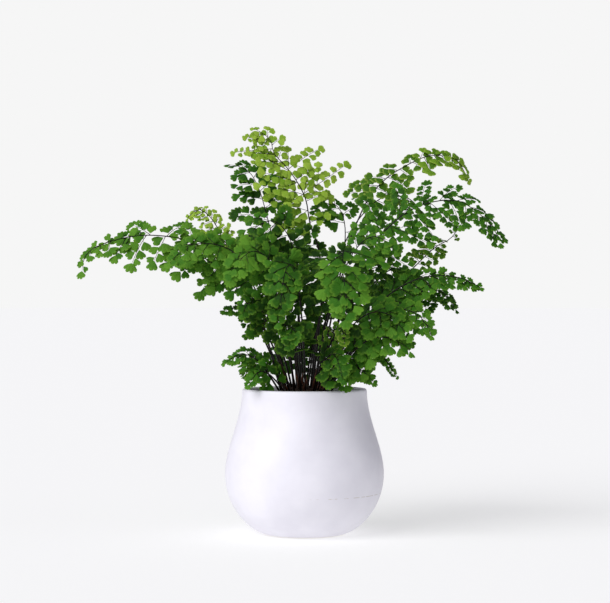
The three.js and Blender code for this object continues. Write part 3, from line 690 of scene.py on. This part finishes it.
def leafletTemplate(name, fan, lobes, notch):
    # a fan-shaped leaflet one unit long, growing along +X, upper face +Z
    look = leafletLook
    spokes = lobes * look["spokesEachLobe"]
    half = math.radians(fan) / 2
    bm = bmesh.new()
    verts = [bm.verts.new((radius, 0, 0)) for radius in look["rings"]]
    edges = [bm.edges.new(pair) for pair in zip(verts, verts[1:])]
    bmesh.ops.rotate(bm, verts=verts, cent=(0, 0, 0), matrix=Matrix.Rotation(-half, 3, "Z"))
    bmesh.ops.spin(bm, geom=verts + edges, cent=(0, 0, 0), axis=(0, 0, 1), dvec=(0, 0, 0),
                   angle=2 * half, steps=spokes)
    sheet = bm.loops.layers.uv.new("fan")
    for face in bm.faces:
        for loop in face.loops:
            turn = math.atan2(loop.vert.co.y, loop.vert.co.x)
            loop[sheet].uv = (turn / (2 * half) + 0.5, loop.vert.co.xy.length)
    for vert in bm.verts:
        radius, turn = vert.co.xy.length, math.atan2(vert.co.y, vert.co.x)
        share = turn / (2 * half) + 0.5
        share -= look["crowd"] * math.sin(math.tau * share * lobes) / (math.tau * lobes)
        turn = (share - 0.5) * 2 * half
        vert.co.x, vert.co.y = radius * math.cos(turn), radius * math.sin(turn)
        within = (share * lobes) % 1
        edgeOn = min(within, 1 - within)
        dent = notch * (1 - min(1, edgeOn * 4)) ** 1.2 * radius ** 3
        sides = look["roundSides"] * abs(2 * share - 1) ** 3 * radius ** 2
        stretch = 1 - dent - sides
        vert.co.x *= stretch * look["longer"]
        vert.co.y *= stretch
        pleat = look["pleat"] * math.cos(math.tau * share * lobes) * radius
        vert.co.z = look["cup"] * radius * (1 - radius * 1.5) - pleat * 0.5
        vert.co.z -= look["rollDown"] * (2 * share - 1) ** 2 * radius
    bmesh.ops.recalc_face_normals(bm, faces=bm.faces)
    if sum(face.normal.z for face in bm.faces) < 0:
        bmesh.ops.reverse_faces(bm, faces=bm.faces)
    bmesh.ops.solidify(bm, geom=bm.faces[:], thickness=look["thickness"] / look["usualSize"])
    under = bm.verts.layers.float.new("under")
    bmesh.ops.recalc_face_normals(bm, faces=bm.faces)
    for face in bm.faces:
        face.smooth = True
    for edge in bm.edges:
        if edge.calc_face_angle(0) > math.radians(look["creaseAngle"]):
            edge.smooth = False
    for vert in bm.verts:
        vert[under] = 1.0 if vert.normal.z < 0 else 0.0
    bm.verts.layers.float.new("toneAndShade")
    mesh = bpy.data.meshes.new(name)
    bm.to_mesh(mesh)
    bm.free()
    return mesh


def leafMaterial(name, dark, mid, light, margin, glow):
    # thin soft fern leaf: matt green, light shining through, forked veins, yellower margin
    material, tree = newMaterial(name)
    fan = addNode(tree, "UVMap", uv_map="fan").outputs["UV"]
    parts = addNode(tree, "SeparateXYZ", links={"Vector": fan})
    across, out = parts.outputs["X"], parts.outputs["Y"]
    # each leaflet's tone picks its green; it carries the leaflet's own colour and painted shade deep inside
    # the plant
    toneAndShade = addNode(tree, "Attribute", attribute_name="toneAndShade").outputs["Fac"]
    under = addNode(tree, "Attribute", attribute_name="under").outputs["Fac"]
    place = addNode(tree, "TexCoord").outputs["Object"]
    mottle = addNode(tree, "TexNoise", links={"Vector": place}, values={"Scale": 130, "Detail": 3})
    shift = addNode(tree, "Math", operation="MULTIPLY_ADD", links={0: mottle.outputs["Fac"], 2: toneAndShade},
                    values={1: 0.3})
    level = addNode(tree, "Math", operation="SUBTRACT", links={0: shift.outputs["Value"]}, values={1: 0.15})
    base = addNode(tree, "ValToRGB", links={"Fac": level.outputs["Value"]},
                   stops=[(0.0, linear(dark)), (0.5, linear(mid)), (1.0, linear(light))])
    # veins fork outwards: 9 of them near the stalk, 18 beyond the middle of the leaflet
    forks = addNode(tree, "Math", operation="GREATER_THAN", links={0: out}, values={1: 0.5})
    count = addNode(tree, "MapRange", links={"Value": forks.outputs["Value"]},
                    values={"To Min": 9 * math.tau, "To Max": 18 * math.tau})
    wave = addNode(tree, "Math", operation="MULTIPLY", links={0: across, 1: count.outputs["Result"]})
    ridge = addNode(tree, "Math", operation="COSINE", links={0: wave.outputs["Value"]})
    vein = addNode(tree, "MapRange", links={"Value": ridge.outputs["Value"]},
                   values={"From Min": 0.55, "From Max": 1.0, "To Min": 0, "To Max": 0.24})
    veined = addNode(tree, "Mix", data_type="RGBA",
                     links={0: vein.outputs["Result"], 6: base.outputs["Color"]}, values={7: linear(light)})
    rim = addNode(tree, "MapRange", links={"Value": out},
                  values={"From Min": 0.72, "From Max": 1.0, "To Min": 0, "To Max": 0.55})
    edged = addNode(tree, "Mix", data_type="RGBA",
                    links={0: rim.outputs["Result"], 6: veined.outputs[2]}, values={7: linear(margin)})
    pale = addNode(tree, "Math", operation="MULTIPLY", links={0: under}, values={1: 0.3})
    faced = addNode(tree, "Mix", data_type="RGBA",
                    links={0: pale.outputs["Value"], 6: edged.outputs[2]}, values={7: linear(light)})
    bump = addNode(tree, "Bump", links={"Height": ridge.outputs["Value"]},
                   values={"Strength": 0.2, "Distance": 0.15 * mm})
    shader = addNode(tree, "BsdfPrincipled",
                     links={"Base Color": faced.outputs[2], "Normal": bump.outputs["Normal"]},
                     values={"Roughness": 0.6, "IOR": 1.4, "Specular IOR Level": 0.2})
    through = addNode(tree, "BsdfTranslucent", values={"Color": linear(glow)},
                      links={"Normal": bump.outputs["Normal"]})
    both = addNode(tree, "MixShader", values={0: 0.24},
                   links={1: shader.outputs["BSDF"], 2: through.outputs["BSDF"]})
    finishMaterial(tree, both.outputs["Shader"])
    return material


stipeLook = dict(black="0a0806", brown="160e0a", chestnut="30190e")


def polishedStipe():
    # maidenhair stipes: wiry, black to dark chestnut, polished like lacquer
    material, tree = newMaterial("polished stipe")
    place = addNode(tree, "TexCoord").outputs["Object"]
    streak = addNode(tree, "TexNoise", links={"Vector": place}, values={"Scale": 60, "Detail": 2})
    colour = addNode(tree, "ValToRGB", links={"Fac": streak.outputs["Fac"]},
                     stops=[(0.35, linear(stipeLook["black"])), (0.6, linear(stipeLook["brown"])),
                            (0.75, linear(stipeLook["chestnut"]))])
    shader = addNode(tree, "BsdfPrincipled", links={"Base Color": colour.outputs["Color"]},
                     values={"Roughness": 0.32, "Specular IOR Level": 0.2})
    finishMaterial(tree, shader.outputs["BSDF"])
    return material


# Fronds: stipe, rachis, pinnae and hair-thin stalks.
frondLook = dict(
    stipe=1.1 * mm, tip=0.3 * mm, pinnaStalk=0.34 * mm, hair=0.17 * mm,
    spread=(66, 46), spreadStray=8, droop=0.2, sag=0.18, taper=0.85, taperBend=1.05, seed=300,
    # spacing along a rachis or a pinna, as shares of what hangs there
    pinnaStep=0.24, leafStep=0.33, crowding=0.42, branchStep=0.24, branchShare=0.5, branchLeast=1.5,
    # how much each leaflet's face follows its pinna, and how far it strays
    faceBlade=0.8, faceLight=0.5, scatter=0.22, pinnaTurn=22,
    turnOut=0.45, lightAway=110 * mm, lightHeight=110 * mm, curl=0.14,
    # a branch leaves its pinna ahead and aside, with smaller leaflets
    forkAhead=0.66, forkAside=0.76, forkLeaf=0.92, leafletAngle=(40, 58),
    # leaflets near the plant's middle get painted shade, a darker green for standing in the others' shade
    toneStray=0.24, innerShade=1.65, innerHeight=75 * mm, innerReach=105 * mm)


def facing(place):
    # the way a blade turns its face: up, outwards and to the light at the front
    look = frondLook
    return Vector((look["turnOut"] * place.x, place.y - look["lightAway"], look["lightHeight"])).normalized()


def bladeSide(route, at):
    # the rachis's direction at a share of the route, and sideways in the blade's plane
    along = route.along(at)
    return along, along.cross(facing(route.at(at))).normalized()


def placeLeaflet(leaves, template, root, aim, face, size, toneAndShade):
    # sets one leaflet with its stalk end at root, growing along aim, upper side towards face
    ahead = (aim - face * aim.dot(face)).normalized()
    across = face.cross(ahead)
    turn = Matrix((ahead, across, face)).transposed().to_4x4()
    place = Matrix.Translation(root) @ turn @ Matrix.Diagonal((size, size, size, 1))
    toneLayer = leaves.verts.layers.float["toneAndShade"]
    for vert in addCopy(leaves, template, place):
        vert[toneLayer] = toneAndShade


def leafSpray(job, start, way, side, length, size, rank=0):
    # one pinna: a drooping stalk with leaflets or small branches left and right, a leaflet at its tip
    look, chance, frond = frondLook, job["chance"], job["frond"]
    sag = frond.get("hang", look["sag"]) * length
    curl = chance.uniform(-1, 1) * look["curl"] * length
    bend = side * curl - up * sag
    path = Route([start + way * length * t + bend * t * t for t in (0, 0.2, 0.4, 0.6, 0.8, 1)])
    side = side.copy()
    side.rotate(Matrix.Rotation(math.radians(chance.uniform(-1, 1) * look["pinnaTurn"]), 3, way))
    radius = look["pinnaStalk"] * (1 if rank == 0 else 0.7)
    addStrand(job["stalks"], path.points, [radius * (1 - 0.45 * i / 5) for i in range(6)])
    share = chance.uniform(0.4, 1.6) * mm / length
    sign = job["parity"]
    while share < 0.97:
        along = path.along(share, 0.05)
        branch = frond.get("branch", look["branchShare"]) * length * (1 - share)
        if rank == 0 and branch > look["branchLeast"] * size:
            out = (along * look["forkAhead"] + side * sign * look["forkAside"]).normalized()
            leafSpray(job, path.at(share), out, side, branch, size * look["forkLeaf"], rank=1)
            share += (0.4 * size + look["branchStep"] * branch) / length
        else:
            angle = math.radians(chance.uniform(*look["leafletAngle"]))
            aim = along * math.cos(angle) + side * sign * math.sin(angle)
            hangLeaflet(job, path.at(share), along, side, aim, size * (1 - 0.25 * share ** 1.5))
            share += frond.get("loose", look["crowding"]) * size * chance.uniform(0.85, 1.15) / length
        sign = -sign
    hangLeaflet(job, path.at(1), path.along(1, 0.05), side, path.along(1, 0.05), size * 0.95, bonus=0.12)


def hangLeaflet(job, here, along, side, aim, size, bonus=0):
    # one leaflet on its hair of a stalk; the ones deep inside the plant are painted darker, as painted shade
    look, chance = frondLook, job["chance"]
    stray = [Vector([chance.uniform(-1, 1) for _ in range(3)]) for _ in range(2)]
    light = facing(here)
    blade = side.cross(along).normalized()
    blade = blade if blade.dot(light) > 0 else -blade
    face = light * look["faceLight"] + blade * look["faceBlade"] + stray[0] * look["scatter"]
    aim = aim + stray[1] * 0.12 - up * 0.1
    foot = here + aim.normalized() * (1.0 * mm + 0.05 * size)
    addStrand(job["stalks"], [here, foot], [look["hair"], look["hair"] * 0.8])
    # painted shade: the nearer the leaflet sits to a point in the plant's middle, the lower its tone and the
    # darker its green
    deep = 1 - (here - Vector((0, 0, rimHeight + look["innerHeight"]))).length / look["innerReach"]
    toneAndShade = job["toneAndShade"] + bonus - max(0, deep) * look["innerShade"]
    toneAndShade += chance.uniform(-1, 1) * look["toneStray"]
    kind = chance.choice(job["kinds"])
    placeLeaflet(job["leaves"], kind, foot, aim, face.normalized(), size * chance.uniform(0.86, 1.12), toneAndShade)
    job["count"] += 1


def pinnaePlaces(frond, blade, chance):
    # each pinna's share of the blade, its side, its length in mm, the angle it leaves at and its
    # leaflets' size in mm
    if "pinnae" in frond:
        return frond["pinnae"]
    look, places = frondLook, []
    wide, narrow = frond.get("open", look["spread"])
    share, sign = 0, 1
    while share < 0.97:
        length = frond["reach"] * (1 - look["taper"] * share ** look["taperBend"])
        angle = wide + (narrow - wide) * share
        leaf = frond["leaf"] * (1 - 0.2 * share)
        places.append((share, sign, length * chance.uniform(0.85, 1.1), angle, leaf))
        share += (look["pinnaStep"] * length + look["leafStep"] * leaf) * mm / blade
        sign = -sign
    return places


def makeFrond(number, frond, kinds, leafFinish, stipeFinish):
    look = frondLook
    route = Route(smoothRoute(frondRoute(frond)))
    leaves = bmesh.new()
    leaves.loops.layers.uv.new("fan")
    leaves.verts.layers.float.new("under")
    leaves.verts.layers.float.new("toneAndShade")
    job = dict(chance=random.Random(look["seed"] + number), frond=frond, leaves=leaves,
               stalks=newCurve(frond["name"] + "_stalk"), kinds=kinds, parity=1 - 2 * (number % 2), count=0)
    steps = max(16, round(route.length / (6 * mm)))
    radii = [look["stipe"] + (look["tip"] - look["stipe"]) * (i / steps) ** 1.2 for i in range(steps + 1)]
    addStrand(job["stalks"], [route.at(i / steps) for i in range(steps + 1)], radii)
    start, size = frond["start"], frond["leaf"] * mm
    for share, sign, length, angle, leaf in pinnaePlaces(frond, (1 - start) * route.length, job["chance"]):
        at = start + (1 - start) * share
        along, side = bladeSide(route, at)
        angle = math.radians(angle + job["chance"].uniform(-1, 1) * look["spreadStray"])
        way = along * math.cos(angle) + side * sign * math.sin(angle)
        way = (way - up * frond.get("droop", look["droop"])).normalized()
        inner = way.cross(side.cross(along)).normalized()
        job["toneAndShade"] = frond["toneAndShade"] + frond.get("fresh", 0) * share
        leafSpray(job, route.at(at), way, inner, length * mm, leaf * mm)
    along, side = bladeSide(route, 1)
    leafSpray(job, route.at(0.99), along, side, size * 0.7, size * 0.7, rank=1)
    mesh = bpy.data.meshes.new(frond["name"] + "_leaflets")
    leaves.to_mesh(mesh)
    leaves.free()
    newPiece(frond["name"] + "_leaflets", mesh, leafFinish, frond["name"])
    newPiece(frond["name"] + "_stalk", curveToMesh(job["stalks"], 1), stipeFinish)
    return job["count"]


def makeFronds():
    mature = [leafletTemplate(f"leaflet_{i}", *kind) for i, kind in enumerate(leafletLook["kinds"])]
    young = [leafletTemplate(f"young_leaflet_{i}", *kind)
             for i, kind in enumerate(leafletLook["youngKinds"])]
    matureLeaf = leafMaterial("mature fern leaf", *leafletLook["mature"])
    youngLeaf = leafMaterial("young fern leaf", *leafletLook["young"])
    stipe = polishedStipe()
    total = 0
    for number, frond in enumerate(fronds):
        kinds = young if frond["young"] else mature
        leaf = youngLeaf if frond["young"] else matureLeaf
        total += makeFrond(number, frond, kinds, leaf, stipe)
    print("fronds", len(fronds), "leaflets", total)


# Room, light and camera.
stageLook = dict(floor="b9b9b9", floorGlow=0.572, background=0.922, fill=0.26, key=2.5, softness=50,
                 keyFrom=(-0.6, -0.6, 0.62), side=0.2, sideFrom=(0.9, -0.35, 0.25), floorSize=60)


def makeStage():
    look = stageLook
    material, tree = newMaterial("plain pale floor")
    shader = addNode(tree, "BsdfPrincipled",
                     values={"Base Color": linear(look["floor"]), "Roughness": 0.9,
                             "Specular IOR Level": 0.0, "Emission Color": (1, 1, 1, 1),
                             "Emission Strength": look["floorGlow"]})
    finishMaterial(tree, shader.outputs["BSDF"])
    bm = bmesh.new()
    bmesh.ops.create_circle(bm, cap_ends=True, segments=96, radius=look["floorSize"])
    bmesh.ops.translate(bm, verts=bm.verts, vec=(0, 0, potLow.z - 0.05 * mm))
    mesh = meshFrom(bm, "floor", smooth=False)
    mesh.materials.append(material)
    floor = bpy.data.objects.new("floor", mesh)
    bpy.context.scene.collection.objects.link(floor)

    world = bpy.data.worlds.new("soft white room")
    bpy.context.scene.world = world
    world.use_nodes = True
    tree = world.node_tree
    tree.nodes.clear()
    seen = addNode(tree, "Background", values={"Color": (1, 1, 1, 1), "Strength": look["background"]})
    fill = addNode(tree, "Background", values={"Color": (0.87, 0.86, 1, 1), "Strength": look["fill"]})
    ray = addNode(tree, "LightPath")
    both = addNode(tree, "MixShader", links={0: ray.outputs["Is Camera Ray"], 1: fill.outputs["Background"],
                                             2: seen.outputs["Background"]})
    addNode(tree, "OutputWorld", links={"Surface": both.outputs["Shader"]})

    for name, power, comesFrom in (("window key", look["key"], look["keyFrom"]),
                                   ("side fill", look["side"], look["sideFrom"])):
        sun = bpy.data.lights.new(name, "SUN")
        sun.energy = power
        sun.angle = math.radians(look["softness"])
        lamp = bpy.data.objects.new(name, sun)
        lamp.rotation_mode = "QUATERNION"
        lamp.rotation_quaternion = Vector(comesFrom).to_track_quat("Z", "Y")
        bpy.context.scene.collection.objects.link(lamp)


cameraLook = dict(distance=1.8, height=87 * mm, aside=0.5 * mm, lens=106.2, sensor=36)


def makeCamera():
    look = cameraLook
    data = bpy.data.cameras.new("camera")
    data.lens = look["lens"]
    data.sensor_width = look["sensor"]
    data.clip_end = 100
    camera = bpy.data.objects.new("camera", data)
    camera.location = (look["aside"], -look["distance"], rimHeight + look["height"])
    camera.rotation_euler = (math.radians(90), 0, 0)
    bpy.context.scene.collection.objects.link(camera)
    bpy.context.scene.camera = camera
    bpy.context.scene.view_settings.view_transform = "Standard"


makeCamera()
makeStage()
print("camera and room")
makePot()
makeSoil()
makeCrown()
print("pot, soil and crown")
makeFronds()
